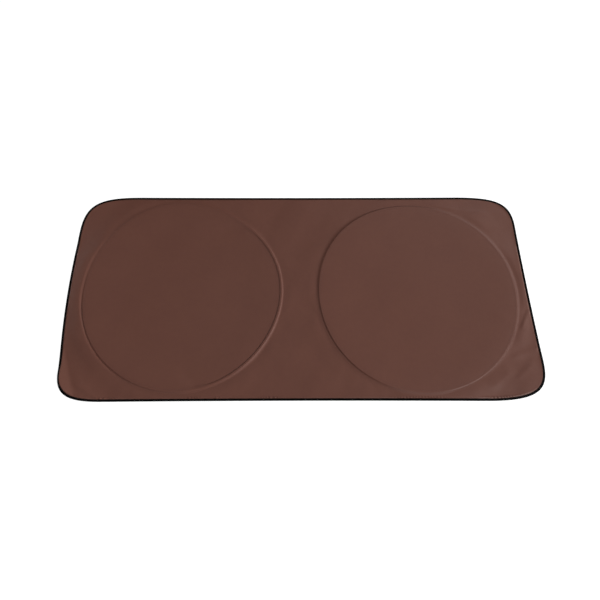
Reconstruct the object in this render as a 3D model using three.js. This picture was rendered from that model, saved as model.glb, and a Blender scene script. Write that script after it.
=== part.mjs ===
// Windscreen sunshade of the twist-to-fold kind, lying flat on a surface with its brown side up.
// A rounded oblong of coated cloth is bound all round with black tape. Two round spring hoops lie
// side by side under the cloth, each in a channel between the cloth and a tape sewn below it.
// Millimetres, +Z up, +X along the long edges. The front edge (-Y) is the one nearest the viewer.

import * as THREE from 'three';

// Hoops: flat spring steel standing on its edge, bent into a ring, its ends joined in a ferrule
const hoopDiameter = 630;
const hoopGap = 128;
const stripThickness = 1;
const stripHeight = 3.5;
const stripEndGap = 1;
const ferruleLength = 40;
const ferruleWall = 0.3;
const ferruleFit = 0.1;

// How each hoop lies: how far it has shifted from its square place, where its ferrule is, and how the
// cloth pulls it out of round, as lobes: how many, how far they stand out and which way one points
const hoopLies = {
  left: {
    shift: [1, -5.5],
    ferruleDegrees: 245,
    lobes: [
      { count: 2, size: 4, degrees: -46 },
      { count: 3, size: 3.3, degrees: -3 },
      { count: 4, size: 2.4, degrees: 16 },
    ],
  },
  right: {
    shift: [1, -2.5],
    ferruleDegrees: 20,
    lobes: [
      { count: 2, size: 2.3, degrees: -31 },
      { count: 3, size: 1.3, degrees: 17 },
      { count: 4, size: 1.1, degrees: 42 },
    ],
  },
};

// Cloth, the casing tape under each hoop and the binding tape round the edge
const clothThickness = 0.4;
const casingWidth = 15;
const casingThickness = 0.4;
const casingEdgeLift = 0.5;
const channelWidth = 3.6;
const seamSpacing = 8;
const bindingWidth = 7;
const bindingThickness = 0.4;
const bindingRound = 0.5;
const layerGap = 0.3;

// Free cloth between the casings and the binding, along the long edges and at the two ends
const longEdgeHem = 23.5;
const endHem = 41.5;

// How far from the casing the cloth comes down to the floor, inside a hoop and outside it
const innerSettle = 40;
const outerSettle = 80;

// How the cloth lies at each corner: side tells which corner it is, and stray how far it lies off
// its square place as a share of the free hem, both along X and Y. reach is how far the round of the
// corner runs along the long edge and along the end, and curl how high the slack corner stands up.
const corners = [
  { side: [-1, -1], stray: [0.69, -0.13], reach: [133, 107], curl: 9 },
  { side: [1, -1], stray: [0.04, 0.63], reach: [186, 118], curl: 5 },
  { side: [1, 1], stray: [-0.44, -0.02], reach: [187, 115], curl: 3 },
  { side: [-1, 1], stray: [-0.08, -0.74], reach: [188, 165], curl: 4 },
];
const cornerRoundness = 0.77;
const curlReach = 150;

// Outward bow of each edge at its middle: front, right end, rear and left end
const edgeBows = [-2, -2, -1.5, 8.3];

// How finely the curves are divided
const cornerSteps = 48;
const edgeSteps = 60;
const hemRays = 54;
const middleRays = 14;
const turnWeight = 0.35;
const hoopSteps = 66;
const ferruleSteps = 4;

// Sizes worked out from those above
const hoopRadius = hoopDiameter / 2;
const hoopCentreX = hoopRadius + hoopGap / 2;
const casingHalf = casingWidth / 2;
const channelHalf = channelWidth / 2;
const halfWidth = hoopCentreX + hoopRadius + casingHalf + endHem + bindingWidth;
const halfDepth = hoopRadius + casingHalf + longEdgeHem + bindingWidth;
const ferruleAllowance = ferruleFit + ferruleWall;
const stripBottom = casingThickness + layerGap + ferruleAllowance;
const stripTop = stripBottom + stripHeight;
const channelHeight = stripTop + ferruleAllowance + layerGap;
const clothInBinding = bindingThickness + layerGap;
const bindingHeight = 2 * clothInBinding + clothThickness;

const brownCloth = new THREE.MeshStandardMaterial({ color: '#5f4039', roughness: 0.5, metalness: 0 });
const blackTape = new THREE.MeshStandardMaterial({ color: '#0d0c0c', roughness: 0.8, metalness: 0 });
const springSteel = new THREE.MeshStandardMaterial({ color: '#8d9094', roughness: 0.35, metalness: 1 });

function smooth(t) {
  const s = Math.min(1, Math.max(0, t));
  return s * s * (3 - 2 * s);
}

// The four points where the edges would meet if the corners weren't rounded
const cornerPoints = corners.map(({ side, stray }) => new THREE.Vector2(
  side[0] * halfWidth + stray[0] * endHem,
  side[1] * halfDepth + stray[1] * longEdgeHem,
));

// How far the slack corners lift the cloth above where it would lie flat
function curlAt({ x, y }) {
  return corners.reduce((height, { curl }, i) => {
    const away = Math.hypot(x - cornerPoints[i].x, y - cornerPoints[i].y);
    return height + curl * smooth(1 - away / curlReach);
  }, 0);
}

// The outline, counter-clockwise: the round of each corner, then the bowed edge to the next one
function outlinePoints() {
  const points = [];
  corners.forEach(({ reach }, i) => {
    const next = (i + 1) % 4;
    const corner = cornerPoints[i];
    const toNext = cornerPoints[next].clone().sub(corner).normalize();
    const toLast = cornerPoints[(i + 3) % 4].clone().sub(corner).normalize();
    const leaving = i % 2;
    const start = corner.clone().addScaledVector(toLast, reach[1 - leaving]);
    const end = corner.clone().addScaledVector(toNext, reach[leaving]);
    const round = new THREE.CubicBezierCurve(
      start,
      start.clone().lerp(corner, cornerRoundness),
      end.clone().lerp(corner, cornerRoundness),
      end,
    );
    points.push(...round.getPoints(cornerSteps));
    const edgeEnd = cornerPoints[next].clone().addScaledVector(toNext, -corners[next].reach[leaving]);
    const outward = new THREE.Vector2(toNext.y, -toNext.x);
    for (let k = 1; k < edgeSteps; k += 1) {
      const t = k / edgeSteps;
      const bow = edgeBows[i] * 4 * t * (1 - t);
      points.push(end.clone().lerp(edgeEnd, t).addScaledVector(outward, bow));
    }
  });
  return points;
}

// The line of the binding's inner lip: points of the outline moved in, each with its outward direction
function lipLine() {
  const outline = outlinePoints();
  const count = outline.length;
  return outline.map((point, i) => {
    const along = outline[(i + 1) % count].clone().sub(outline[(i + count - 1) % count]).normalize();
    const outward = new THREE.Vector2(along.y, -along.x);
    return { point: point.clone().addScaledVector(outward, -bindingWidth), outward };
  });
}

function between(a, b, t) {
  return {
    point: a.point.clone().lerp(b.point, t),
    outward: a.outward.clone().lerp(b.outward, t).normalize(),
  };
}

// Where the lip line crosses x = 0: at the rear edge for end 1, at the front edge for end -1
function crossing(line, end) {
  const i = line.findIndex(({ point }, k) => {
    const next = line[(k + 1) % line.length].point;
    return point.y * end > 0 && point.x * end > 0 && next.x * end <= 0;
  });
  const a = line[i];
  const b = line[(i + 1) % line.length];
  const station = between(a, b, a.point.x / (a.point.x - b.point.x));
  station.point.x = 0;
  return station;
}

// Stations along the lip line of one half, counter-clockwise. They are close together where the ray
// from the hoop's centre to the line swings fast, and where the line itself turns fast.
function hemStations(line, side, centre) {
  const first = crossing(line, -side);
  const last = crossing(line, side);
  const bearing = (station) => station.point.clone().sub(centre).angle();
  const fromFirst = (station) => (bearing(station) - bearing(first) + 2 * Math.PI) % (2 * Math.PI);
  const half = line.filter(({ point }) => point.x * side > 0);
  half.sort((a, b) => fromFirst(a) - fromFirst(b));
  const path = [first, ...half, last];
  const measure = [0];
  for (let i = 1; i < path.length; i += 1) {
    const swing = fromFirst(path[i]) - fromFirst(path[i - 1]);
    const turn = Math.abs(path[i - 1].outward.cross(path[i].outward));
    measure.push(measure[i - 1] + swing + turnWeight * turn);
  }
  const stations = [first];
  let k = 1;
  for (let step = 1; step < hemRays; step += 1) {
    const target = measure[measure.length - 1] * step / hemRays;
    while (measure[k] < target) {
      k += 1;
    }
    stations.push(between(path[k - 1], path[k], (target - measure[k - 1]) / (measure[k] - measure[k - 1])));
  }
  stations.push(last);
  return stations;
}

// Points on the line x = 0 between the two crossings, from the rear to the front, at even angles
// seen from the square place of a hoop's centre
function middlePoints(rear, front) {
  const rearAngle = Math.atan2(rear.point.y, hoopCentreX);
  const frontAngle = Math.atan2(front.point.y, hoopCentreX);
  const points = [];
  for (let k = 1; k < middleRays; k += 1) {
    const angle = rearAngle + (frontAngle - rearAngle) * k / middleRays;
    points.push(new THREE.Vector2(0, hoopCentreX * Math.tan(angle)));
  }
  return points;
}

// A mesh of the given corners and triangles, turned so that its faces point out
function body(name, vertices, triangles, material) {
  const volume = triangles.reduce((sum, [a, b, c]) => (
    sum + vertices[a].dot(vertices[b].clone().cross(vertices[c]))
  ), 0);
  const faces = volume < 0 ? triangles.map(([a, b, c]) => [a, c, b]) : triangles;
  const coordinates = vertices.flatMap((vertex) => vertex.toArray());
  const geometry = new THREE.BufferGeometry();
  geometry.setAttribute('position', new THREE.Float32BufferAttribute(coordinates, 3));
  geometry.setIndex(faces.flat());
  geometry.computeVertexNormals();
  const mesh = new THREE.Mesh(geometry, material);
  mesh.name = name;
  return mesh;
}

// A solid through a row of sections with the same number of corners: a ring if it is closed,
// otherwise a bar whose two convex ends are filled
function sweep(name, sections, closed, material) {
  const size = sections[0].length;
  const vertices = sections.flat();
  const triangles = [];
  const steps = closed ? sections.length : sections.length - 1;
  for (let i = 0; i < steps; i += 1) {
    const here = i * size;
    const ahead = ((i + 1) % sections.length) * size;
    for (let k = 0; k < size; k += 1) {
      const next = (k + 1) % size;
      triangles.push([here + k, here + next, ahead + next], [here + k, ahead + next, ahead + k]);
    }
  }
  if (!closed) {
    const end = (sections.length - 1) * size;
    for (let k = 1; k < size - 1; k += 1) {
      triangles.push([0, k + 1, k], [end, end + k, end + k + 1]);
    }
  }
  return body(name, vertices, triangles, material);
}

// Height of the casing tape's underside at a distance d from the hoop's own line
function casingUnderside(d) {
  return casingEdgeLift * Math.max(0, d - channelHalf) / (casingHalf - channelHalf);
}

// Height of the cloth's underside at a distance d from the hoop's own line
function clothUnderside(d) {
  return d <= channelHalf ? channelHeight : casingUnderside(d) + casingThickness + layerGap;
}

// Rows of the cloth round one hoop, as distances from the hoop's line: inside it, then outside it
const channelRows = [-casingHalf, -seamSpacing / 2, -channelHalf, channelHalf, seamSpacing / 2, casingHalf];

// The cloth as places on the plan, each with the height of its underside, and triangles between them
function clothPlan(halves) {
  const places = [];
  const numbers = new Map();
  const triangles = [];
  const place = (point, height) => {
    const key = `${point.x} ${point.y}`;
    if (!numbers.has(key)) {
      numbers.set(key, places.length);
      places.push(new THREE.Vector3(point.x, point.y, height));
    }
    return numbers.get(key);
  };
  const band = (inner, outer, ring) => {
    const count = ring ? inner.length : inner.length - 1;
    for (let k = 0; k < count; k += 1) {
      const next = (k + 1) % inner.length;
      triangles.push([inner[k], outer[k], outer[next]], [inner[k], outer[next], inner[next]]);
    }
  };
  halves.forEach(({ centre, targets, stations, radiusAt }) => {
    const middle = place(centre, 0);
    const columns = targets.map((target, k) => {
      const reach = target.distanceTo(centre);
      const at = (radius) => centre.clone().lerp(target, radius / reach);
      const hoop = radiusAt(target.clone().sub(centre).angle());
      const room = reach - hoop - casingHalf;
      const halfway = at(reach - room / 2);
      const hemHeight = k < stations.length ? clothInBinding : 0;
      const besideCasing = clothUnderside(casingHalf);
      const hang = (besideCasing + hemHeight) / 2 * (1 - smooth(room / outerSettle));
      return [
        place(at(hoop - casingHalf - innerSettle), 0),
        ...channelRows.map((d) => place(at(hoop + d), clothUnderside(Math.abs(d)))),
        place(halfway, hang + curlAt(halfway)),
        place(target, hemHeight + curlAt(target)),
      ];
    });
    columns.forEach((column, k) => {
      triangles.push([middle, column[0], columns[(k + 1) % columns.length][0]]);
    });
    for (let row = 1; row < columns[0].length; row += 1) {
      band(columns.map((column) => column[row - 1]), columns.map((column) => column[row]), true);
    }
    const lip = columns.slice(0, stations.length).map((column) => column[column.length - 1]);
    const edge = stations.map(({ point, outward }) => {
      const clothEdge = point.clone().addScaledVector(outward, bindingWidth - clothInBinding);
      return place(clothEdge, clothInBinding + curlAt(clothEdge));
    });
    band(lip, edge, false);
  });
  return { places, triangles };
}

// The plan given its thickness: underside, top side, and a wall along each open edge
function shadeCloth(halves) {
  const { places, triangles } = clothPlan(halves);
  const count = places.length;
  const rise = new THREE.Vector3(0, 0, clothThickness);
  const vertices = [...places, ...places.map((place) => place.clone().add(rise))];
  const faces = [];
  const edges = new Set();
  triangles.forEach(([a, b, c]) => {
    faces.push([a, c, b], [a + count, b + count, c + count]);
    [[a, b], [b, c], [c, a]].forEach(([from, to]) => edges.add(`${from} ${to}`));
  });
  triangles.forEach(([a, b, c]) => {
    [[a, b], [b, c], [c, a]].forEach(([from, to]) => {
      if (!edges.has(`${to} ${from}`)) {
        faces.push([from, to, to + count], [from, to + count, from + count]);
      }
    });
  });
  return body('shade_cloth', vertices, faces, brownCloth);
}

// Tape folded over the cloth's edge: its section as distances in from the outline, and heights
function edgeBinding(stations) {
  const wall = bindingThickness;
  const top = bindingHeight;
  const section = [
    [bindingWidth, 0],
    [bindingRound, 0],
    [0, bindingRound],
    [0, top - bindingRound],
    [bindingRound, top],
    [bindingWidth, top],
    [bindingWidth, top - wall],
    [wall, top - wall],
    [wall, wall],
    [bindingWidth, wall],
  ];
  const sections = stations.map(({ point, outward }) => section.map(([inset, height]) => {
    const place = point.clone().addScaledVector(outward, bindingWidth - inset);
    return new THREE.Vector3(place.x, place.y, height + curlAt(place));
  }));
  return sweep('edge_binding', sections, true, blackTape);
}

function polar(angle, radius, height) {
  return new THREE.Vector3(radius * Math.cos(angle), radius * Math.sin(angle), height);
}

// The tape sewn under one hoop, in the frame of the hoop's centre
function hoopCasing(name, { centre, targets, radiusAt }) {
  const section = [
    [-casingHalf, 0],
    [-channelHalf, 0],
    [channelHalf, 0],
    [casingHalf, 0],
    [casingHalf, casingThickness],
    [channelHalf, casingThickness],
    [-channelHalf, casingThickness],
    [-casingHalf, casingThickness],
  ];
  const sections = targets.map((target) => {
    const angle = target.clone().sub(centre).angle();
    return section.map(([d, height]) => (
      polar(angle, radiusAt(angle) + d, height + casingUnderside(Math.abs(d)))
    ));
  });
  return sweep(name, sections, true, blackTape);
}

// The four corners of the strip's section, made larger by a margin
function stripCorners(margin) {
  const d = stripThickness / 2 + margin;
  const low = stripBottom - margin;
  const high = stripTop + margin;
  return [[-d, low], [d, low], [d, high], [-d, high]];
}

const ferruleHalfAngle = ferruleLength / 2 / hoopRadius;

// Angles at which the ferrule and the strip inside it bend, from one ferrule end to the other
function ferruleAngles(middle) {
  return Array.from({ length: ferruleSteps + 1 }, (unused, k) => (
    middle + ferruleHalfAngle * (2 * k / ferruleSteps - 1)
  ));
}

// One spring hoop, in the frame of its centre: open by a small gap in the middle of its ferrule
function springHoop(name, joint, radiusAt) {
  const fine = ferruleAngles(joint);
  const endGapHalfAngle = stripEndGap / 2 / hoopRadius;
  const leaving = fine.filter((angle) => angle > joint + endGapHalfAngle);
  const arriving = fine.filter((angle) => angle < joint - endGapHalfAngle);
  const open = 2 * Math.PI - 2 * ferruleHalfAngle;
  const angles = [joint + endGapHalfAngle, ...leaving];
  for (let k = 1; k < hoopSteps; k += 1) {
    angles.push(joint + ferruleHalfAngle + open * k / hoopSteps);
  }
  angles.push(...arriving, joint - endGapHalfAngle);
  const sections = angles.map((angle) => (
    stripCorners(0).map(([d, height]) => polar(angle, radiusAt(angle) + d, height))
  ));
  return sweep(name, sections, false, springSteel);
}

// The crimped sleeve over the strip's two ends, in the frame of the hoop's centre
function hoopFerrule(name, joint, radiusAt) {
  const angles = ferruleAngles(joint);
  const outer = stripCorners(ferruleAllowance);
  const inner = stripCorners(ferruleFit);
  const alongHoop = (someAngles, [d, height]) => (
    someAngles.map((angle) => polar(angle, radiusAt(angle) + d, height))
  );
  const walls = outer.map((corner, k) => [
    ...alongHoop(angles, corner),
    ...alongHoop(angles.toReversed(), inner[k]),
  ]);
  return sweep(name, walls, true, springSteel);
}

const line = lipLine();
const across = middlePoints(crossing(line, 1), crossing(line, -1));

// One half of the shade: its hoop's centre and laid shape, the stations along its hem, and the
// places on its border that the rays from the centre go to, all the way round
function shadeHalf(side, { shift, lobes }) {
  const centre = new THREE.Vector2(side * hoopCentreX + shift[0], shift[1]);
  const stations = hemStations(line, side, centre);
  const inner = side < 0 ? across.toReversed() : across;
  const radiusAt = (angle) => lobes.reduce((radius, { count, size, degrees }) => (
    radius + size * Math.cos(count * (angle - THREE.MathUtils.degToRad(degrees)))
  ), hoopRadius);
  return { centre, stations, radiusAt, targets: [...stations.map(({ point }) => point), ...inner] };
}

function hoopGroup(prefix, { centre, targets, radiusAt }, { ferruleDegrees }) {
  const joint = THREE.MathUtils.degToRad(ferruleDegrees);
  const group = new THREE.Group();
  group.position.set(centre.x, centre.y, 0);
  group.add(
    hoopCasing(`${prefix}_hoop_casing`, { centre, targets, radiusAt }),
    springHoop(`${prefix}_hoop`, joint, radiusAt),
    hoopFerrule(`${prefix}_hoop_ferrule`, joint, radiusAt),
  );
  return group;
}

// The origin is on the floor, under the middle of the shade's own box
const left = shadeHalf(-1, hoopLies.left);
const right = shadeHalf(1, hoopLies.right);
const binding = edgeBinding([...right.stations.slice(0, -1), ...left.stations.slice(0, -1)]);
const shade = new THREE.Group();
shade.add(
  shadeCloth([left, right]),
  binding,
  hoopGroup('left', left, hoopLies.left),
  hoopGroup('right', right, hoopLies.right),
);
const middle = new THREE.Box3().setFromObject(binding).getCenter(new THREE.Vector3());
shade.position.set(-middle.x, -middle.y, 0);

export default shade;
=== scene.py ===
"""Windscreen sunshade, laid flat with its brown side up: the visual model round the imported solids.

Lengths are in metres, or in millimetres where a comment says so. +Z is up and +X runs along the
long edges. The front edge (-Y) is the one nearest the camera.
"""

import math

import bpy
import numpy as np
from mathutils import Matrix, Vector


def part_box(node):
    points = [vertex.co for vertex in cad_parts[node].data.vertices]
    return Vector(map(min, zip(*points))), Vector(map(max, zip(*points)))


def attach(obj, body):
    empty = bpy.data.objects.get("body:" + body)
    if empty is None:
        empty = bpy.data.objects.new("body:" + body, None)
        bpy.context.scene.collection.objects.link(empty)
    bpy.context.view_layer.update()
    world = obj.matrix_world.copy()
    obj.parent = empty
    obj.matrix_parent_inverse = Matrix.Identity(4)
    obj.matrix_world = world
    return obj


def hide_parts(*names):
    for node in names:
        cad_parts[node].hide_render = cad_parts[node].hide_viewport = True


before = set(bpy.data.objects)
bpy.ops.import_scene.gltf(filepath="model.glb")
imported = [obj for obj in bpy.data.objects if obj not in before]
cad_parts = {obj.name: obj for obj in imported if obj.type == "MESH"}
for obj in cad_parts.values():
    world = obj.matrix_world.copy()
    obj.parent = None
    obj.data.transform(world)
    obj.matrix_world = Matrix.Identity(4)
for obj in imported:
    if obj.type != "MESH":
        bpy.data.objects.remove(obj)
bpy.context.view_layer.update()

MM = 0.001
FULL_TURN = 2 * math.pi
SIDES = ("left", "right")

# The camera that took the picture, from a fit to the outline and to both hoops; angles in degrees
CAMERA_TARGET = Vector((0.0029, -0.0300, 0.0))
CAMERA_DISTANCE = 1.2351
CAMERA_AZIMUTH = -0.288
CAMERA_ELEVATION = 72.238
CAMERA_ROLL = 0.276
CAMERA_LENS_MM = 23.1
SENSOR_MM = 36.0
CAMERA_CLIP = (0.01, 50)

# Cloth over the hoops: heights of its underside above the floor, and places from the strip's middle
CLOTH_THICKNESS = 0.3 * MM
RESTING = 0.15 * MM
CREST = 5.15 * MM
CREST_HALF_WIDTH = 0.6 * MM
SEAM_OFFSET = 4.0 * MM
SEAM_DIP = 0.75 * MM
SEAM_WIDTH = 2.0 * MM
CASING_EDGE = 7.5 * MM
CASING_SWELL = 1.25 * MM
INNER_SETTLE = 120 * MM

# Binding tape folded over the edge of the cloth
BINDING_WIDTH = 7.0 * MM
BINDING_HEIGHT = 1.8 * MM
BINDING_WALL = 0.62 * MM
BINDING_STITCH_PITCH = 3.4 * MM
CLOTH_INSET = 0.7 * MM
HEM_HEIGHT = 0.75 * MM


def smooth(t):
    """0 up to t = 0 and 1 from t = 1 on, with a soft step between."""
    t = np.clip(t, 0.0, 1.0)
    return t * t * (3 - 2 * t)


def turn_from(start, angle):
    """The turn from a start direction to an angle, from -pi to pi."""
    return (angle - start + math.pi) % FULL_TURN - math.pi


def unit(rows):
    return rows / np.linalg.norm(rows, axis=1)[:, None]


def mesh_points(node):
    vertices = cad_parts[node].data.vertices
    co = np.zeros(len(vertices) * 3)
    vertices.foreach_get("co", co)
    return co.reshape(-1, 3)


def harmonics(angle, count=8):
    """1, and the cosine and sine of the first multiples of each angle, as columns."""
    columns = [np.ones_like(angle)]
    for k in range(1, count + 1):
        columns += [np.cos(k * angle), np.sin(k * angle)]
    return np.stack(columns, axis=-1)


class HoopLine:
    """The line that a spring hoop lies on, read from its solid: a centre and a radius at each angle."""

    def __init__(self, side):
        low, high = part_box(f"{side}_hoop")
        self.centre = np.array(((low + high) / 2).xy)
        plan = mesh_points(f"{side}_hoop")[:, :2] - self.centre
        angle = np.arctan2(plan[:, 1], plan[:, 0])
        self.terms = np.linalg.lstsq(harmonics(angle), np.hypot(*plan.T), rcond=None)[0]
        mean_radius = float(self.terms[0])
        self.length = FULL_TURN * mean_radius
        low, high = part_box(f"{side}_hoop_ferrule")
        joint = np.array(((low + high) / 2).xy) - self.centre
        self.ferrule_angle = math.atan2(joint[1], joint[0])

    def radius(self, angle):
        return harmonics(angle) @ self.terms

    def polar(self, plan):
        """Angle of each plan point about the centre, and how far it lies outside the hoop's line."""
        away = plan - self.centre
        angle = np.arctan2(away[..., 1], away[..., 0])
        return angle, np.hypot(away[..., 0], away[..., 1]) - self.radius(angle)

    def place(self, angle, offset):
        """Plan points at the given angles, so far outside the hoop's line."""
        reach = self.radius(angle) + offset
        return self.centre + np.stack([reach * np.cos(angle), reach * np.sin(angle)], axis=-1)


class Outline:
    """The binding's outer edge, read from its solid, counter-clockwise at even steps along it."""

    STEP = 2.5 * MM
    SPLINE_STEPS = 8
    # Of all the walls in the solid's section, only the outermost is lower than this
    OUTER_WALL_LIMIT = 0.9 * MM
    # Corners of the solid stand over each other where they agree to this many digits of a metre
    PLACE_DIGITS = 5
    # Points are matched to the outline in batches of this many, to save memory
    BATCH = 4000

    def __init__(self):
        columns = {}
        for x, y, z in mesh_points("edge_binding"):
            place = (round(x, self.PLACE_DIGITS), round(y, self.PLACE_DIGITS))
            columns.setdefault(place, []).append(z)
        edge = [
            (x, y, (min(zs) + max(zs) - BINDING_HEIGHT) / 2)
            for (x, y), zs in columns.items()
            if 0 < max(zs) - min(zs) < self.OUTER_WALL_LIMIT
        ]
        edge.sort(key=lambda p: math.atan2(p[1], p[0]))
        dense = self.spline(np.array(edge))
        ring = np.vstack([dense, dense[:1]])
        along = np.concatenate([[0], np.cumsum(np.hypot(*np.diff(ring[:, :2], axis=0).T))])
        self.length = along[-1]
        self.count = round(self.length / self.STEP)
        self.run = np.arange(self.count) * self.length / self.count
        self.points = np.stack([np.interp(self.run, along, ring[:, k]) for k in range(2)], axis=-1)
        self.lift = np.maximum(np.interp(self.run, along, ring[:, 2]), 0)
        self.tangent = unit(np.roll(self.points, -2, axis=0) - np.roll(self.points, 2, axis=0))
        self.outward = np.stack([self.tangent[:, 1], -self.tangent[:, 0]], axis=-1)

    def spline(self, points):
        """A smooth closed curve through the points, as points at even steps between them."""
        before, after, far = (np.roll(points, k, axis=0) for k in (1, -1, -2))
        parts = []
        for t in np.arange(self.SPLINE_STEPS) / self.SPLINE_STEPS:
            parts.append(0.5 * (
                2 * points
                + (after - before) * t
                + (2 * before - 5 * points + 4 * after - far) * t ** 2
                + (3 * points - before - 3 * after + far) * t ** 3
            ))
        return np.stack(parts, axis=1).reshape(-1, points.shape[1])

    def inset(self, depth):
        return self.points - self.outward * depth

    def nearest(self, plan):
        """For each plan point: number of the nearest outline point, and how far inside it the point is."""
        flat = plan.reshape(-1, 2)
        number = np.empty(len(flat), int)
        for start in range(0, len(flat), self.BATCH):
            gap = flat[start:start + self.BATCH, None, :] - self.points[None]
            number[start:start + self.BATCH] = np.argmin((gap ** 2).sum(-1), axis=1)
        depth = ((self.points[number] - flat) * self.outward[number]).sum(-1)
        return number.reshape(plan.shape[:-1]), depth.reshape(plan.shape[:-1])

    def run_at(self, plan):
        """How far along the outline each plan point lies."""
        number, _ = self.nearest(plan)
        beyond = ((plan - self.points[number]) * self.tangent[number]).sum(-1)
        return (self.run[number] + beyond) % self.length

    def at(self, run, values):
        """Values that are given at each outline point, worked out at other runs."""
        return np.interp(run, np.append(self.run, self.length), np.append(values, values[0]))


hoops = {side: HoopLine(side) for side in SIDES}
outline = Outline()


# The shortest and the longest of a set of waves, as shares of the length asked for
WAVE_SPREAD = (0.7, 1.5)


def waves(values, length, seed, count=14):
    """A smooth random height field from -1 to 1 or so, with features of about the given length."""
    rng = np.random.default_rng(seed)
    total = np.zeros(values.shape[:-1])
    for _ in range(count):
        heading = rng.uniform(0, FULL_TURN)
        number = FULL_TURN / (length * rng.uniform(*WAVE_SPREAD))
        phase = rng.uniform(0, FULL_TURN)
        if values.shape[-1] == 2:
            along = values[..., 0] * math.cos(heading) + values[..., 1] * math.sin(heading)
        else:
            along = values[..., 0]
        total += np.sin(along * number + phase)
    return total / math.sqrt(count / 2)


# How the cloth lies round a hoop. Each table holds values in mm at angles in degrees, which run
# counter-clockwise from +X. First, how wide the cloth's slopes beside the strip are.
SLOPES = {
    "left": {
        "inner": [
            (0, 2.6), (38, 3.0), (52, 14), (68, 80), (85, 130), (190, 130), (210, 90), (255, 90), (272, 80),
            (282, 14), (292, 3.5), (320, 2.6),
        ],
        "outer": [
            (0, 4.2), (30, 4.5), (45, 7.0), (60, 10), (75, 16), (130, 16), (150, 11), (165, 9.0), (180, 7.0),
            (195, 3.6), (240, 3.6), (262, 6.0), (275, 8.0), (290, 4.5), (320, 4.0),
        ],
    },
    "right": {
        "inner": [(0, 180)],
        "outer": [
            (0, 11), (30, 12), (45, 14), (60, 13), (75, 10), (90, 5.5), (105, 4.5), (120, 7.0), (135, 9.0),
            (160, 10), (178, 7.5), (195, 5.5), (210, 4.2), (225, 4.0), (240, 5.0), (260, 12), (275, 12),
            (287, 7.0), (300, 6.5), (315, 8.0), (330, 10),
        ],
    },
}
# How far outside the strip the cloth runs on level before it falls
CRESTS = {
    "left": [(0, 4.4), (45, 3.8), (70, 0.8), (270, 0.8), (285, 3.6), (315, 4.6)],
    "right": [(0, 0.8)],
}
# How high the cloth lies at the foot of the outer slope, and of the inner one
LEVELS = {
    "left": [(0, 1.25), (60, 1.25), (80, 3.0), (135, 3.6), (150, 4.4), (183, 4.2), (196, 1.25), (255, 1.25)],
    "right": [
        (0, 2.9), (35, 3.1), (65, 2.8), (90, 1.25), (250, 1.25), (265, 3.4), (285, 3.9), (303, 3.9),
        (330, 3.2),
    ],
}
INNER_LEVELS = {
    "left": [(0, 3.0), (45, 3.0), (60, 1.25), (275, 1.25), (290, 3.0)],
    "right": [(0, 1.25)],
}
# Over what distance the cloth outside the casing comes down from that level
SETTLES = {
    "left": [(0, 80)],
    "right": [(0, 45), (20, 50), (35, 90), (320, 90), (345, 50)],
}
# Where the outer seam of the casing runs
OUTER_SEAMS = {
    "left": [(0, 7.2), (45, 7.2), (70, 4.0), (270, 4.0), (285, 7.2)],
    "right": [(0, 4.0)],
}
# The swell in the loose cloth outside the hoop: how far out it is highest, and how high
SWELL_PLACES = {
    "left": [(0, 10), (140, 14), (165, 14), (185, 12), (200, 9.0), (240, 8.5)],
    "right": [(0, 22)],
}
SWELLS = {
    "left": [(0, 0), (140, 0), (152, 2.4), (182, 3.0), (196, 4.9), (228, 5.2), (243, 0.8), (262, 0)],
    "right": [(0, 0), (165, 0), (185, 0.9), (240, 0.9), (255, 0)],
}
# It starts within this distance of the strip, rises over this share of its place and sinks over its tail
SWELL_START = 2 * MM
SWELL_RISE = 0.42
SWELL_TAIL = 34 * MM

# The ridge's slope is a straight line with this share of a soft step in it
TENT_ROUNDNESS = 0.3
# Outer slopes wider than this fade out at their foot, by up to this power more
CRISP_SLOPE = 9 * MM
SOFT_FOOT = 0.6
# The crest is wider over the ferrule, and less so up to this far along the hoop from the ferrule's middle
FERRULE_SWELL = 0.5 * MM
FERRULE_END = 30 * MM
FERRULE_FADE = 20 * MM
# The dip along a seam is lost where the slope beside it is wider than this
SEAM_SLOPE_LIMIT = 10 * MM
SEAM_SLOPE_FADE = 4 * MM

# Between these angles in degrees the cloth outside a hoop steps down at once, on the left one nowhere
STEPS_DOWN = {"left": (100, 100), "right": (180, 255)}
STEP_FADE_DEGREES = 15
STEP_PLACE = 12.5 * MM
STEP_WIDTH = 1.8 * MM


def around(table, angle):
    """Values from a table round a hoop, for angles in radians."""
    degrees, values = zip(*table)
    return np.interp(np.degrees(angle) % 360, degrees, values, period=360) * MM


def step_share(side, angle):
    """1 where the cloth steps down at once, 0 where it settles slowly."""
    first, last = STEPS_DOWN[side]
    degrees = np.degrees(angle) % 360
    return smooth((degrees - first) / STEP_FADE_DEGREES) * smooth((last - degrees) / STEP_FADE_DEGREES)


def crest_half_width(side, angle, outside):
    """How far the cloth over the strip runs on level from the strip's middle."""
    hoop = hoops[side]
    to_ferrule = np.abs(turn_from(hoop.ferrule_angle, angle)) * hoop.radius(angle)
    crest = np.where(outside, around(CRESTS[side], angle), CREST_HALF_WIDTH)
    return crest + FERRULE_SWELL * smooth((FERRULE_END - to_ferrule) / FERRULE_FADE)


def swell_height(side, angle, offset):
    """The loose cloth outside a hoop: it rises soon after the seam and sinks slowly beyond."""
    place = around(SWELL_PLACES[side], angle)
    reach = np.where(offset < place, SWELL_RISE * place, SWELL_TAIL)
    swell = around(SWELLS[side], angle) * np.exp(-((offset - place) / reach) ** 2)
    return swell * smooth(offset / SWELL_START)


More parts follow.
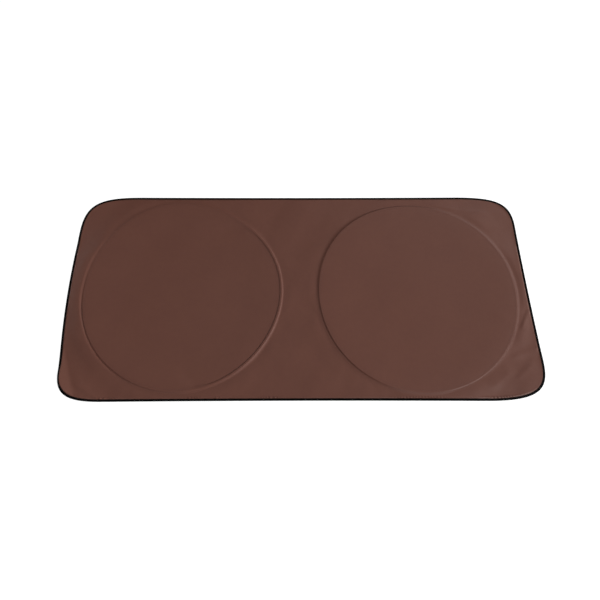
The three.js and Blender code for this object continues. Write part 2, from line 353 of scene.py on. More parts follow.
def channel_height(side, plan):
    """The cloth's underside round one hoop: a tent over the strip, sewn down on both sides."""
    angle, offset = hoops[side].polar(plan)
    outside = offset > 0
    away = np.abs(offset)
    slope = np.where(outside, around(SLOPES[side]["outer"], angle), around(SLOPES[side]["inner"], angle))
    level = np.where(outside, around(LEVELS[side], angle), around(INNER_LEVELS[side], angle))

    share = np.clip((away - crest_half_width(side, angle, outside)) / slope, 0, 1)
    fallen = TENT_ROUNDNESS * smooth(share) + (1 - TENT_ROUNDNESS) * share
    tent = (1 - fallen) ** (1 + SOFT_FOOT * smooth((slope - CRISP_SLOPE) / CRISP_SLOPE) * outside)

    abrupt = step_share(side, angle) * outside
    edge = CASING_EDGE + (STEP_PLACE - CASING_EDGE) * abrupt
    settle = np.where(outside, around(SETTLES[side], angle), INNER_SETTLE)
    settle = settle + (STEP_WIDTH - settle) * abrupt
    settled = (level - RESTING) * (1 - smooth((away - edge) / settle))

    seam = np.where(outside, around(OUTER_SEAMS[side], angle), SEAM_OFFSET)
    dip = (CASING_SWELL - SEAM_DIP) * np.exp(-((away - seam) / SEAM_WIDTH) ** 2)
    sewn = dip * (away > seam / 2) * smooth((SEAM_SLOPE_LIMIT - slope) / SEAM_SLOPE_FADE)
    return (CREST - level) * tent + settled - sewn + swell_height(side, angle, offset)


# Folds: both ends in mm, height in mm, and the width of the slope in mm to the left and right of the line
FOLDS = [
    ((726, 160), (737, -44), 2.4, 2, 26),
    ((729, -58), (694, -116), 1.8, 18, 3),
    ((655, -206), (738, -176), 1.5, 4, 14),
    ((660, -270), (714, -222), 1.3, 4, 12),
    ((585, -300), (640, -250), 1.2, 12, 12),
    ((262, -288), (308, -313), 1.1, 4, 6),
    ((-585, -350), (-668, -300), 1.8, 5, 12),
    ((470, 312), (640, 290), 1.0, 8, 14),
]
# The front left corner's crease: the same values, but its slopes are straight
CREASE = ((-682, -375), (-766, -168), 13.0, 8, 31)
# Share of a fold's length over which it fades, half of it beyond each end
FOLD_FADE = 0.3
FOLD_SHARPNESS = 1.4
# Folds fade out between these distances outside a hoop
HOOP_HOLD = 9 * MM
HOOP_FREE = 26 * MM


def clear_of_hoops(plan):
    """0 on and beside the hoops, 1 where the cloth is free of them."""
    clear = np.ones(plan.shape[:-1])
    for side in SIDES:
        _, offset = hoops[side].polar(plan)
        clear *= smooth((offset - HOOP_HOLD) / (HOOP_FREE - HOOP_HOLD))
    return clear


def rounded(share):
    return np.exp(-np.abs(share) ** FOLD_SHARPNESS)


def straight(share):
    return np.clip(1 - np.abs(share), 0, 1)


def line_height(plan, line, profile):
    """Height of one fold or crease, with the given profile across it."""
    start, end, rise, left_width, right_width = line
    a, b = np.array(start) * MM, np.array(end) * MM
    along = (b - a) / np.linalg.norm(b - a)
    share = ((plan - a) @ along) / np.linalg.norm(b - a)
    across = (plan - a) @ np.array([-along[1], along[0]])
    width = np.where(across > 0, left_width, right_width) * MM
    fade = smooth(share / FOLD_FADE + 0.5) * smooth((1 - share) / FOLD_FADE + 0.5)
    return rise * MM * fade * profile(across / width)


def fold_height(plan):
    height = sum(line_height(plan, line, rounded) for line in FOLDS) + line_height(plan, CREASE, straight)
    return height * clear_of_hoops(plan)


# The edge counts as lifted off the floor above this height
LIFTED = 0.02 * MM


def corner_peaks():
    """Where each slack corner stands highest, how high, and how far from there it reaches the floor."""
    peaks = []
    for across in (-1, 1):
        for along in (-1, 1):
            own = (outline.points[:, 0] * across > 0) & (outline.points[:, 1] * along > 0)
            lift = np.where(own, outline.lift, 0)
            peak = outline.points[np.argmax(lift)]
            reach = np.linalg.norm(outline.points[lift > LIFTED] - peak, axis=1).max()
            peaks.append((peak, lift.max(), reach))
    return peaks


def curl(plan):
    """Height of the cloth where the corners curl up."""
    return sum(
        height * smooth(1 - np.linalg.norm(plan - peak, axis=-1) / reach)
        for peak, height, reach in corner_peaks()
    )


# The cloth beside the binding: the swell, the climb to the tape, and how far in the tape holds it
LIP_SWELL = 1.1 * MM
LIP_SWELL_PLACE = 2.5 * MM
LIP_SWELL_WIDTH = 2.2 * MM
LIP_CLIMB = 0.9 * MM
LIP_CLIMB_WIDTH = 2.5 * MM
LIP_REACH = 5 * MM
# What is left of the lip beside a hoop
LIP_BY_HOOPS = 0.2
# The cloth climbs fully where the edge's outward direction has this much of +X or of +Y
CLIMBING_FACE = 0.5


def lip(number, inside):
    """The cloth beside the binding: it only climbs to it at the rear and the right, and swells elsewhere."""
    facing = np.maximum(outline.outward[number, 0], outline.outward[number, 1])
    climbing = smooth(facing / CLIMBING_FACE)
    swell = LIP_SWELL * np.exp(-((inside - LIP_SWELL_PLACE) / LIP_SWELL_WIDTH) ** 2)
    climb = LIP_CLIMB * np.exp(-np.maximum(inside, 0) / LIP_CLIMB_WIDTH)
    return swell + (climb - swell) * climbing


# How loose the cloth is: this little inside a hoop, nothing on its strip, and all of it further out
TAUT = 0.12
TAUT_REACH = 12 * MM
SLACK_START = 6 * MM
SLACK_REACH = 30 * MM


def slack(plan):
    """1 where the cloth is loose outside both hoops, near 0 where one stretches it."""
    share = np.ones(plan.shape[:-1])
    for side in SIDES:
        _, offset = hoops[side].polar(plan)
        share = np.minimum(share, TAUT + (1 - TAUT) * smooth((offset - SLACK_START) / SLACK_REACH))
        share = np.where(np.abs(offset) < TAUT_REACH, TAUT * np.abs(offset) / TAUT_REACH, share)
    return share


# Small gathers beside the binding's seam
PUCKER_PLACE = 2.4 * MM
PUCKER_REACH = 2.2 * MM
PUCKER_PITCH = 9.0 * MM
PUCKER_HEIGHT = 2.6 * MM
PUCKER_SHARPNESS = 1.6
# How far their spacing wanders, in radians of a ripple, and over what length
PUCKER_WANDER = 1.2
PUCKER_WANDER_LENGTH = 60 * MM
PUCKER_SEED = 11
# Share of their height that they have all round
EVEN_PUCKERS = 0.08
# Stretches of the front edge that are gathered most: middle and half width in mm along X
GATHERED = [(-582, 14), (-546, 10), (-308, 20), (-240, 9), (-78, 36), (365, 72), (610, 34)]
# Half widths from the middle at which such a stretch ends
GATHERED_END = 1.5


def puckers(number, inside):
    """Small gathers that the binding's seam draws up in the cloth beside it, more in some stretches."""
    run, place = outline.run[number], outline.points[number]
    wander = PUCKER_WANDER * waves(run[..., None], PUCKER_WANDER_LENGTH, PUCKER_SEED)
    ripple = np.sin(run / PUCKER_PITCH * FULL_TURN + wander)
    gathered = sum(
        smooth(GATHERED_END - np.abs(place[..., 0] / MM - middle) / half)
        for middle, half in GATHERED
    ) * (place[..., 1] < 0)
    strength = EVEN_PUCKERS + np.clip(gathered, 0, 1)
    bell = np.exp(-((inside - PUCKER_PLACE) / PUCKER_REACH) ** 2) * smooth(inside / PUCKER_PLACE)
    return PUCKER_HEIGHT * strength * ((1 + ripple) / 2) ** PUCKER_SHARPNESS * bell


# Unevenness of the loose cloth: height in mm, length in mm and seed of each layer of waves
UNEVENNESS = [(0.10, 55, 3), (0.6, 170, 5)]


def underside(plan):
    """Height of the cloth's underside at plan points."""
    number, depth = outline.nearest(plan)
    inside = depth - BINDING_WIDTH
    height = RESTING + sum(channel_height(side, plan) for side in SIDES) + curl(plan)
    height += lip(number, inside) * (LIP_BY_HOOPS + (1 - LIP_BY_HOOPS) * clear_of_hoops(plan))
    height += fold_height(plan)
    loose = slack(plan)
    for rise, length, seed in UNEVENNESS:
        height += loose * rise * MM * (1 + waves(plan, length * MM, seed))
    height = np.maximum(height, RESTING)
    held = 1 - smooth(inside / LIP_REACH)
    return height + held * (HEM_HEIGHT + outline.lift[number] - height) + puckers(number, inside)


def new_object(name, vertices, faces, material, smooth_shading=True):
    mesh = bpy.data.meshes.new(name)
    mesh.from_pydata([tuple(v) for v in vertices], [], [tuple(f) for f in faces])
    mesh.materials.append(material)
    mesh.validate()
    mesh.polygons.foreach_set("use_smooth", [smooth_shading] * len(mesh.polygons))
    mesh.update()
    piece = bpy.data.objects.new(name, mesh)
    bpy.context.scene.collection.objects.link(piece)
    return piece


def rgb(red, green, blue):
    """A colour given as it looks on screen, 0 to 255, as linear values."""
    def linear(value):
        s = value / 255
        return s / 12.92 if s <= 0.04045 else ((s + 0.055) / 1.055) ** 2.4
    return (linear(red), linear(green), linear(blue), 1.0)


def grey(level):
    return (level, level, level, 1.0)


class Shader:
    """Helper that builds a node material round one Principled BSDF."""

    # Most of a noise lies between these values
    NOISE_LOW = 0.3
    NOISE_HIGH = 0.7

    def __init__(self, name):
        self.material = bpy.data.materials.new(name)
        self.material.use_nodes = True
        self.tree = self.material.node_tree
        self.bsdf = self.tree.nodes["Principled BSDF"]
        self.place = self.node("ShaderNodeTexCoord").outputs["Object"]

    def node(self, kind, **settings):
        made = self.tree.nodes.new(kind)
        for key, value in settings.items():
            if key in made.inputs:
                made.inputs[key].default_value = value
            else:
                setattr(made, key, value)
        return made

    def link(self, source, target):
        self.tree.links.new(source, target)

    def feed(self, socket, source):
        """The shader's socket takes what varies over the surface."""
        self.link(source, self.bsdf.inputs[socket])

    def fix(self, socket, value):
        """The shader's socket takes one value for the whole surface."""
        self.bsdf.inputs[socket].default_value = value

    def noise(self, scale, detail=3.0, roughness=0.5, stretch=(1, 1, 1)):
        mapping = self.node("ShaderNodeMapping")
        mapping.inputs["Scale"].default_value = stretch
        self.link(self.place, mapping.inputs["Vector"])
        made = self.node("ShaderNodeTexNoise", Scale=scale, Detail=detail, Roughness=roughness)
        self.link(mapping.outputs["Vector"], made.inputs["Vector"])
        return made.outputs["Fac"]

    def wave(self, axis, scale):
        made = self.node("ShaderNodeTexWave", Scale=scale)
        made.bands_direction = axis
        self.link(self.place, made.inputs["Vector"])
        return made.outputs["Fac"]

    def weave(self, scale_x, scale_y):
        """Threads that cross at right angles."""
        return self.combine("MULTIPLY", self.wave("X", scale_x), self.wave("Y", scale_y))

    def combine(self, operation, a, b):
        made = self.node("ShaderNodeMath", operation=operation)
        for k, value in enumerate((a, b)):
            if isinstance(value, (int, float)):
                made.inputs[k].default_value = value
            else:
                self.link(value, made.inputs[k])
        return made.outputs["Value"]

    def ramp(self, factor, dark, light, low=NOISE_LOW, high=NOISE_HIGH):
        made = self.node("ShaderNodeValToRGB")
        made.color_ramp.elements[0].position = low
        made.color_ramp.elements[0].color = dark
        made.color_ramp.elements[1].position = high
        made.color_ramp.elements[1].color = light
        self.link(factor, made.inputs["Fac"])
        return made.outputs["Color"]

    def span(self, noise, start, end):
        limits = {"From Min": self.NOISE_LOW, "From Max": self.NOISE_HIGH, "To Min": start, "To Max": end}
        made = self.node("ShaderNodeMapRange")
        for key, value in limits.items():
            made.inputs[key].default_value = value
        self.link(noise, made.inputs["Value"])
        return made.outputs["Result"]

    def bump(self, height, distance, strength, under=None):
        made = self.node("ShaderNodeBump", Strength=strength, Distance=distance)
        self.link(height, made.inputs["Height"])
        if under is not None:
            self.link(under, made.inputs["Normal"])
        return made.outputs["Normal"]


# The cloth's threads, as scales of the weave along X and Y, and how high they stand
CLOTH_WEAVE = (700, 560)
CLOTH_WEAVE_HEIGHT = 0.05 * MM
CRINKLE_HEIGHT = 0.25 * MM
RIB_HEIGHT = 0.12 * MM
BRUSHING_HEIGHT = 0.02 * MM
# How dark the darker lines of a thread and of steel are, as a share of their colour
THREAD_SHADE = 0.6
STEEL_SHADE = 0.85


def brown_cloth():
    s = Shader("brown_taffeta")
    broad = s.combine("MULTIPLY", s.noise(scale=9, detail=4), 0.6)
    fine = s.combine("MULTIPLY", s.noise(scale=70, detail=3), 0.4)
    s.feed("Base Color", s.ramp(s.combine("ADD", broad, fine), rgb(91, 56, 46), rgb(95, 59, 48)))
    s.feed("Roughness", s.span(s.noise(scale=30, detail=4), 0.50, 0.55))
    threads = s.bump(s.weave(*CLOTH_WEAVE), CLOTH_WEAVE_HEIGHT, strength=0.25)
    crinkle = s.noise(scale=180, detail=4, roughness=0.6)
    s.feed("Normal", s.bump(crinkle, CRINKLE_HEIGHT, strength=0.35, under=threads))
    s.fix("Specular IOR Level", 0.24)
    return s.material


def silver_back():
    s = Shader("silver_coating")
    s.feed("Base Color", s.ramp(s.noise(scale=60), rgb(150, 152, 155), rgb(172, 174, 177)))
    s.feed("Roughness", s.span(s.noise(scale=200), 0.32, 0.48))
    s.feed("Normal", s.bump(s.weave(*CLOTH_WEAVE), CLOTH_WEAVE_HEIGHT, strength=0.4))
    s.fix("Metallic", 0.6)
    return s.material


def black_tape(name, rib_scale):
    s = Shader(name)
    s.feed("Base Color", s.ramp(s.noise(scale=120), rgb(1, 1, 1), rgb(4, 4, 4)))
    s.feed("Normal", s.bump(s.weave(rib_scale, rib_scale), RIB_HEIGHT, strength=0.5))
    s.fix("Roughness", 0.75)
    s.fix("Specular IOR Level", 0.04)
    return s.material


def thread(name, colour):
    s = Shader(name)
    dark = tuple(THREAD_SHADE * c for c in colour[:3]) + (1.0,)
    s.feed("Base Color", s.ramp(s.wave("DIAGONAL", scale=900), dark, colour, low=0.2, high=0.8))
    s.fix("Roughness", 0.6)
    return s.material


def steel(name, tint, smoothest, roughest):
    """Metal with fine lines that run round the strip."""
    s = Shader(name)
    dark = rgb(*(STEEL_SHADE * c for c in tint))
    s.feed("Base Color", s.ramp(s.noise(scale=300, detail=4, roughness=0.6), dark, rgb(*tint)))
    s.feed("Roughness", s.span(s.noise(scale=500), smoothest, roughest))
    lines = s.noise(scale=60, detail=2, roughness=0.5, stretch=(1, 1, 40))
    s.feed("Normal", s.bump(lines, BRUSHING_HEIGHT, strength=0.4))
    s.fix("Metallic", 1.0)
    return s.material


# The cloth's mesh: rays from each hoop's centre, rows across them, and a finer strip along the hem.
# The ridge's rows are in mm from the strip's middle, and the strip's rows in mm from the outline.
HEM_RAYS = 232
MIDDLE_RAYS = 60
INNER_ROWS = 11
INNER_CROWDING = 1.25
RIDGE_ROWS = np.array([
    -36, -28, -22, -17, -13.5, -10.5, -8.2, -6.6, -5.4, -4.4, -3.5, -2.6, -1.8, -1.2, -0.7, -0.25,
    0.25, 0.7, 1.2, 1.8, 2.6, 3.5, 4.4, 5.4, 6.6, 8.2,
]) * MM
FIELD_ROWS = 19
FIELD_END = 15.6 * MM
STRIP_DEPTHS = np.array([14, 12.2, 10.8, 9.6, 8.4, 7.4, 6.4, CLOTH_INSET / MM]) * MM


class PlanMesh:
    """Faces between plan points, each point held once."""

    # Points that agree to this many digits of a metre are one
    PLACE_DIGITS = 7

    def __init__(self):
        self.points = []
        self.faces = []
        self.numbers = {}

    def number(self, point):
        key = (round(point[0], self.PLACE_DIGITS), round(point[1], self.PLACE_DIGITS))
        if key not in self.numbers:
            self.numbers[key] = len(self.points)
            self.points.append(point)
        return self.numbers[key]


def ends_of_middle():
    """Where the middle line between the hoops ends, just before the strip along the hem, front and rear."""
    edge = outline.inset(FIELD_END)
    x, y = edge.T
    following = np.roll(edge, -1, axis=0)
    found = {}
    for i in np.flatnonzero((x * following[:, 0] <= 0) & (x != 0)):
        t = x[i] / (x[i] - following[i, 0])
        found["rear" if y[i] > 0 else "front"] = (0.0, y[i] + t * (following[i, 1] - y[i]))
    return found


def ray_targets(side):
    """Where the rays of one half end: by the strip, then back along the middle line, counter-clockwise."""
    hoop = hoops[side]
    sign = -1 if side == "left" else 1
    ends = ends_of_middle()
    edge = outline.inset(FIELD_END)
    away = edge[edge[:, 0] * sign > 0] - hoop.centre
    # Angles are measured from the direction that points away from the middle line
    turn = 0.0 if sign > 0 else math.pi
    bearing = turn_from(turn, np.arctan2(away[:, 1], away[:, 0]))
    order = np.argsort(bearing)
    bearing, reach = bearing[order], np.hypot(*away[order].T)
    order_of_ends = ("front", "rear") if sign > 0 else ("rear", "front")
    first, last = (np.array(ends[k]) - hoop.centre for k in order_of_ends)
    low, high = (turn_from(turn, math.atan2(e[1], e[0])) for e in (first, last))
    angles = np.linspace(low, high, HEM_RAYS)[1:-1]
    heading = np.stack([np.cos(angles + turn), np.sin(angles + turn)], axis=-1)
    hem = hoop.centre + np.interp(angles, bearing, reach)[:, None] * heading
    middle = np.linspace(ends[order_of_ends[1]], ends[order_of_ends[0]], MIDDLE_RAYS)
    return np.vstack([hem, middle]), len(hem)


def cloth_rows(hoop, targets):
    """Plan points of all rows on each ray: (rays, rows, 2)."""
    away = targets - hoop.centre
    reach = np.linalg.norm(away, axis=1)
    ray = away / reach[:, None]
    line = hoop.radius(np.arctan2(away[:, 1], away[:, 0]))
    inner_shares = 1 - (1 - np.arange(1, INNER_ROWS + 1) / (INNER_ROWS + 1)) ** INNER_CROWDING
    inner = (line[:, None] + RIDGE_ROWS[0]) * inner_shares
    ridge = line[:, None] + RIDGE_ROWS
    start = ridge[:, -1]
    field = start[:, None] + (reach - start)[:, None] * np.arange(1, FIELD_ROWS + 1) / FIELD_ROWS
    distance = np.concatenate([inner, ridge, field], axis=1)
    return hoop.centre + ray[:, None, :] * distance[:, :, None]


def mesh_half(mesh, side):
    """The faces round one hoop; gives the numbers of the points that border on the strip."""
    hoop = hoops[side]
    targets, hem_count = ray_targets(side)
    grid = cloth_rows(hoop, targets)
    rays, rows = grid.shape[:2]
    numbers = np.array([[mesh.number(p) for p in column] for column in grid])
    centre = mesh.number(hoop.centre)
    for j in range(rays):
        k = (j + 1) % rays
        mesh.faces.append((centre, numbers[j, 0], numbers[k, 0]))
        for i in range(rows - 1):
            mesh.faces.append((numbers[j, i], numbers[j, i + 1], numbers[k, i + 1], numbers[k, i]))
    return [*numbers[:hem_count + 1, -1], numbers[-1, -1]]


def zip_rings(inner, inner_run, outer, outer_run):
    """Triangles between two closed rings of points, each ordered by its run along the outline."""
    faces = []
    i = j = 0
    while i < len(inner) or j < len(outer):
        a, b = inner[i % len(inner)], outer[j % len(outer)]
        next_inner = inner_run[i + 1] if i + 1 < len(inner) else outline.length + inner_run[0]
        next_outer = outer_run[j + 1] if j + 1 < len(outer) else outline.length + outer_run[0]
        if j == len(outer) or (i < len(inner) and next_inner <= next_outer):
            faces.append((a, b, inner[(i + 1) % len(inner)]))
            i += 1
        else:
            faces.append((a, b, outer[(j + 1) % len(outer)]))
            j += 1
    return faces


def mesh_strip(mesh, border):
    """The finer strip along the hem, joined to the border of both halves."""
    run = outline.run_at(np.array([mesh.points[b] for b in border]))
    order = np.argsort(run)
    strip = np.array([[mesh.number(p) for p in outline.inset(depth)] for depth in STRIP_DEPTHS])
    mesh.faces += zip_rings(border[order], run[order], strip[0], outline.run)
    for row, following in zip(strip, strip[1:]):
        for j in range(outline.count):
            k = (j + 1) % outline.count
            mesh.faces.append((row[j], following[j], following[k], row[k]))


def build_cloth():
    """Two skins, brown above and silver below, closed by walls along the rim."""
    mesh = PlanMesh()
    border = np.unique([number for side in SIDES for number in mesh_half(mesh, side)])
    mesh_strip(mesh, border)
    plan, faces = np.array(mesh.points), mesh.faces
    low = underside(plan)
    count = len(plan)
    vertices = np.vstack([np.column_stack([plan, low + CLOTH_THICKNESS]), np.column_stack([plan, low])])
    edges = {(a, b) for face in faces for a, b in zip(face, face[1:] + face[:1])}
    rim = sorted((a, b) for a, b in edges if (b, a) not in edges)
    # Each face below starts at the same corner as its twin above, so that both are split along one diagonal
    under = [tuple(v + count for v in (face[0], *reversed(face[1:]))) for face in faces]
    walls = [(b, a, a + count, b + count) for a, b in rim]
    piece = new_object("brown_cloth", vertices, faces + under + walls, brown_cloth())
    piece.data.materials.append(silver_back())
    index = [0] * len(faces) + [1] * len(under) + [0] * len(walls)
    piece.data.polygons.foreach_set("material_index", index)
    return piece


# The tape's faces near its free edges, in mm: how far in from the edge, and how far inside the section
TAPE_BOTTOM = [(0, 0.12), (0.3, 0.0), (2.2, 0.08)]
TAPE_TOP = [(2.2, 0.12), (0.5, 0.02), (0, 0.2)]
# The lining ends this far in from the free edges and this near the outer face
LINING_END = (0.05 * MM, 0.60 * MM)
TAPE_TURN = np.radians([-90, -60, -30, 0, 30, 60, 90])
# The seam draws the tape in at each stitch, and the whole tape is a little uneven
STITCH_DRAW = 0.10 * MM
TAPE_UNEVENNESS = 0.15 * MM
TAPE_WAVE_LENGTH = 30 * MM
TAPE_SEED = 21


def half_round(radius):
    """Points of the tape's turn at the outer edge, from the bottom up."""
    middle = BINDING_HEIGHT / 2
    return [(middle - radius * math.cos(a), middle + radius * math.sin(a)) for a in TAPE_TURN]


def tape_section():
    """The tape's section: how far in from the outline, and how high."""
    w, h = BINDING_WIDTH, BINDING_HEIGHT
    back, deep = LINING_END
    bottom = [(w - inward * MM, rise * MM) for inward, rise in TAPE_BOTTOM] + [(w / 2, 0.0)]
    top = [(w / 2, h)] + [(w - inward * MM, h - drop * MM) for inward, drop in TAPE_TOP]
    upper_lining = [(w - back, h - deep), (w / 2, h - BINDING_WALL)]
    lower_lining = [(w / 2, BINDING_WALL), (w - back, deep)]
    outer_turn, inner_turn = half_round(h / 2), half_round(h / 2 - BINDING_WALL)
    return np.array(bottom + outer_turn + top + upper_lining + inner_turn[::-1] + lower_lining)


def build_binding():
    """The tape: a rounded fold over the cloth's edge, drawn in a little at each stitch."""
    section = tape_section()
    ripple = STITCH_DRAW * np.sin(outline.run / BINDING_STITCH_PITCH * FULL_TURN)
    ripple = ripple + TAPE_UNEVENNESS * waves(outline.run[:, None], TAPE_WAVE_LENGTH, TAPE_SEED)
    plan = outline.points[:, None] - outline.outward[:, None] * section[None, :, :1]
    # The bottom and the turn at the outer edge stay smooth
    rippled = smooth(section[:, 1] / BINDING_HEIGHT) * (section[:, 0] > BINDING_WIDTH / 4)
    height = section[None, :, 1] + outline.lift[:, None] + ripple[:, None] * rippled
    vertices = np.concatenate([plan, np.maximum(height, 0)[..., None]], axis=-1)
    n, m = vertices.shape[:2]
    faces = []
    for j in range(n):
        for i in range(m):
            a, b = j * m + i, j * m + (i + 1) % m
            c, d = (j + 1) % n * m + (i + 1) % m, (j + 1) % n * m + i
            faces.append((a, b, c, d))
    tape = black_tape("black_binding", rib_scale=900)
    return new_object("binding_tape", vertices.reshape(-1, 3), faces, tape)


# Sewing thread: its radius, and at even steps along a stitch the share of it that the thread has
THREAD_RADIUS = 0.2 * MM
THREAD_PROFILE = np.array([0.35, 0.9, 1.0, 0.9, 0.35])
THREAD_SIDES = 6
# In radii: how high a stitch arches, and how deep its ends are sunk
STITCH_ARCH = 1.6
STITCH_SINK = 0.9
HOOP_STITCH_PITCH = 3.6 * MM
HOOP_STITCH_LENGTH = 2.9 * MM
BINDING_STITCH_LENGTH = 2.6 * MM
# The binding's seam, from the tape's inner edge and below its top
BINDING_SEAM_PLACE = 1.6 * MM
BINDING_SEAM_SINK = 0.02 * MM
# Steps over which slopes and directions are measured
SLOPE_STEP = 0.5 * MM
ANGLE_STEP = 0.001


def stitch_row(name, places, tangents, normals, length, material):
    """One row of sewing stitches: small arched threads, sunk into the cloth at both ends."""
    rings = len(THREAD_PROFILE)
    t = np.linspace(0, 1, rings)
    thick = THREAD_RADIUS * THREAD_PROFILE
    arch = THREAD_RADIUS * (STITCH_ARCH * np.sin(math.pi * t) - STITCH_SINK)
    across = np.cross(normals, tangents)
    turn = np.arange(THREAD_SIDES) * FULL_TURN / THREAD_SIDES
    base = places[:, None] + tangents[:, None] * ((t - 0.5) * length)[None, :, None]
    base = base + normals[:, None] * arch[None, :, None]
    ring = (
        across[:, None, None] * (np.cos(turn)[None, None, :, None] * thick[None, :, None, None])
        + normals[:, None, None] * (np.sin(turn)[None, None, :, None] * thick[None, :, None, None])
    )
    vertices = (base[:, :, None] + ring).reshape(-1, 3)
    faces = []
    for stitch in range(len(places)):
        start = stitch * rings * THREAD_SIDES
        end = start + (rings - 1) * THREAD_SIDES
        for first in range(start, end, THREAD_SIDES):
            for k in range(THREAD_SIDES):
                a, b = first + k, first + (k + 1) % THREAD_SIDES
                faces.append((a, b, b + THREAD_SIDES, a + THREAD_SIDES))
        faces.append(tuple(start + k for k in reversed(range(THREAD_SIDES))))
        faces.append(tuple(end + k for k in range(THREAD_SIDES)))
    return new_object(name, vertices, faces, material)


def rise_along(plan, heading):
    """How steeply the cloth rises in a direction."""
    step = heading * SLOPE_STEP
    return (underside(plan + step) - underside(plan - step)) / (2 * SLOPE_STEP)


def surface_frame(plan, heading):
    """Places on top of the cloth, with the direction of a seam and the surface's normal there."""
    across = np.stack([-heading[:, 1], heading[:, 0]], axis=-1)
    along = unit(np.column_stack([heading, rise_along(plan, heading)]))
    sideways = np.column_stack([across, rise_along(plan, across)])
    top = underside(plan) + CLOTH_THICKNESS
    return np.column_stack([plan, top]), along, unit(np.cross(along, sideways))


def hoop_seam(side, which, material):
    """The inner or the outer seam of one hoop's casing."""
    hoop = hoops[side]

    def line(angle):
        inner = np.full_like(angle, -SEAM_OFFSET)
        return hoop.place(angle, inner if which == "inner" else around(OUTER_SEAMS[side], angle))

    count = round(hoop.length / HOOP_STITCH_PITCH)
    angle = (np.arange(count) + 0.5) / count * FULL_TURN
    heading = unit(line(angle + ANGLE_STEP) - line(angle - ANGLE_STEP))
    places, along, normal = surface_frame(line(angle), heading)
    return stitch_row(f"{side}_hoop_{which}_seam", places, along, normal, HOOP_STITCH_LENGTH, material)


def binding_seam(material):
    count = round(outline.length / BINDING_STITCH_PITCH)
    run = (np.arange(count) + 0.5) / count * outline.length
    line = outline.inset(BINDING_WIDTH - BINDING_SEAM_PLACE)
    plan = np.stack([outline.at(run, line[:, k]) for k in range(2)], axis=-1)
    heading = unit(np.stack([outline.at(run, outline.tangent[:, k]) for k in range(2)], axis=-1))
    top = outline.at(run, outline.lift) + BINDING_HEIGHT - BINDING_SEAM_SINK
    along = np.column_stack([heading, np.zeros(count)])
    normal = np.tile([0.0, 0.0, 1.0], (count, 1))
    places = np.column_stack([plan, top])
    return stitch_row("binding_stitches", places, along, normal, BINDING_STITCH_LENGTH, material)


def add_camera():
    azimuth, elevation, roll = (math.radians(a) for a in (CAMERA_AZIMUTH, CAMERA_ELEVATION, CAMERA_ROLL))
    level_ahead = Vector((math.sin(azimuth), math.cos(azimuth), 0))
    ahead = level_ahead * math.cos(elevation) - Vector((0, 0, math.sin(elevation)))
    right = Vector((math.cos(azimuth), -math.sin(azimuth), 0))
    up = right.cross(ahead)
    rolled_right = math.cos(roll) * right + math.sin(roll) * up
    rolled_up = -math.sin(roll) * right + math.cos(roll) * up
    data = bpy.data.cameras.new("camera")
    data.lens, data.sensor_width, data.sensor_fit = CAMERA_LENS_MM, SENSOR_MM, "HORIZONTAL"
    data.clip_start, data.clip_end = CAMERA_CLIP
    camera = bpy.data.objects.new("camera", data)
    turn = Matrix((rolled_right, rolled_up, -ahead)).transposed().to_4x4()
    camera.matrix_world = Matrix.Translation(CAMERA_TARGET - ahead * CAMERA_DISTANCE) @ turn
    bpy.context.scene.collection.objects.link(camera)
    bpy.context.scene.camera = camera


# Soft white panels: name, place, what it points at, width and height, and watts
LIGHTS = [
    ("right_softbox", (6.20, -1.32, 1.35), (0.2, 0, 0), (5.0, 1.9), 232),
    ("rear_right_softbox", (5.20, 3.50, 1.68), (0.2, 0, 0), (3.1, 1.8), 138),
    ("front_right_softbox", (4.40, -3.70, 4.90), (0, 0, 0), (3.7, 2.6), 400),
    ("rear_fill", (1.15, 2.17, 2.21), (0, 0, 0), (1.4, 1.0), 13),
    ("overhead", (-0.73, 0.73, 2.82), (0, 0, 0), (1.6, 1.2), 9),
    ("left_softbox", (-1.22, 0.26, 0.09), (-0.6, 0.10, 0), (0.7, 0.12), 1.3),
    ("front_left_fill", (-1.60, -1.60, 1.60), (-0.50, -0.25, 0), (0.8, 0.8), 8),
]
# The white surroundings light the shade weakly, but the camera sees them bright
SURROUNDINGS = 0.10
SEEN_SURROUNDINGS = 1.1
FLOOR_HALF = 15.0
FLOOR_HEIGHT = -0.5 * MM
FLOOR_GLOW = 0.7


def add_light(name, place, target, size, watts):
    data = bpy.data.lights.new(name, "AREA")
    data.shape = "RECTANGLE"
    data.size, data.size_y = size
    data.energy = watts
    lamp = bpy.data.objects.new(name, data)
    lamp.visible_camera = False
    lamp.location = place
    lamp.rotation_mode = "QUATERNION"
    lamp.rotation_quaternion = (Vector(target) - Vector(place)).to_track_quat("-Z", "Y")
    bpy.context.scene.collection.objects.link(lamp)


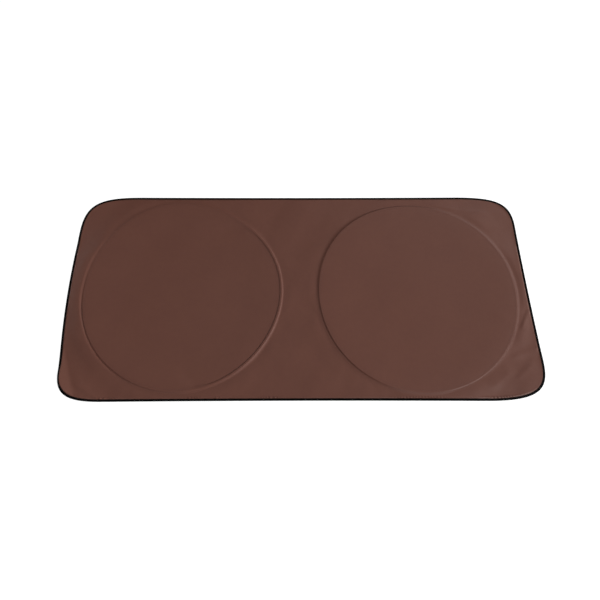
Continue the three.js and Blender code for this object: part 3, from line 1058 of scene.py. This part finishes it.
def add_surroundings():
    world = bpy.data.worlds.new("studio")
    bpy.context.scene.world = world
    world.use_nodes = True
    nodes, links = world.node_tree.nodes, world.node_tree.links
    dim = nodes["Background"]
    dim.inputs["Color"].default_value = grey(1.0)
    dim.inputs["Strength"].default_value = SURROUNDINGS
    white = nodes.new("ShaderNodeBackground")
    white.inputs["Strength"].default_value = SEEN_SURROUNDINGS
    mix = nodes.new("ShaderNodeMixShader")
    links.new(nodes.new("ShaderNodeLightPath").outputs["Is Camera Ray"], mix.inputs["Fac"])
    links.new(dim.outputs["Background"], mix.inputs[1])
    links.new(white.outputs["Background"], mix.inputs[2])
    links.new(mix.outputs["Shader"], nodes["World Output"].inputs["Surface"])


def add_floor():
    s = Shader("pale_floor")
    s.feed("Base Color", s.ramp(s.noise(scale=3), grey(0.50), grey(0.52)))
    s.fix("Roughness", 0.9)
    s.fix("Specular IOR Level", 0.1)
    s.fix("Emission Color", grey(1.0))
    s.fix("Emission Strength", FLOOR_GLOW)
    signs = ((-1, -1), (1, -1), (1, 1), (-1, 1))
    corners = [(x * FLOOR_HALF, y * FLOOR_HALF, FLOOR_HEIGHT) for x, y in signs]
    new_object("floor", corners, [(0, 1, 2, 3)], s.material, smooth_shading=False)


add_camera()
add_surroundings()
for light in LIGHTS:
    add_light(*light)
add_floor()
bpy.context.scene.view_settings.view_transform = "Standard"

cloth = build_cloth()
binding = build_binding()
brown_thread = thread("brown_thread", rgb(78, 50, 44))
hoop_seams = {side: [hoop_seam(side, which, brown_thread) for which in ("inner", "outer")] for side in SIDES}
edge_seam = binding_seam(thread("black_thread", rgb(30, 28, 28)))

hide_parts("shade_cloth")
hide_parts("edge_binding")
for piece in (cloth, binding, edge_seam, *hoop_seams["left"], *hoop_seams["right"]):
    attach(piece, "root")

finishes = {
    "hoop_casing": black_tape("casing_tape", rib_scale=1100),
    "hoop": steel("spring_steel", (176, 178, 182), smoothest=0.22, roughest=0.36),
    "hoop_ferrule": steel("ferrule_steel", (165, 165, 168), smoothest=0.30, roughest=0.44),
}
for side in SIDES:
    for node, material in finishes.items():
        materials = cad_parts[f"{side}_{node}"].data.materials
        materials.clear()
        materials.append(material)
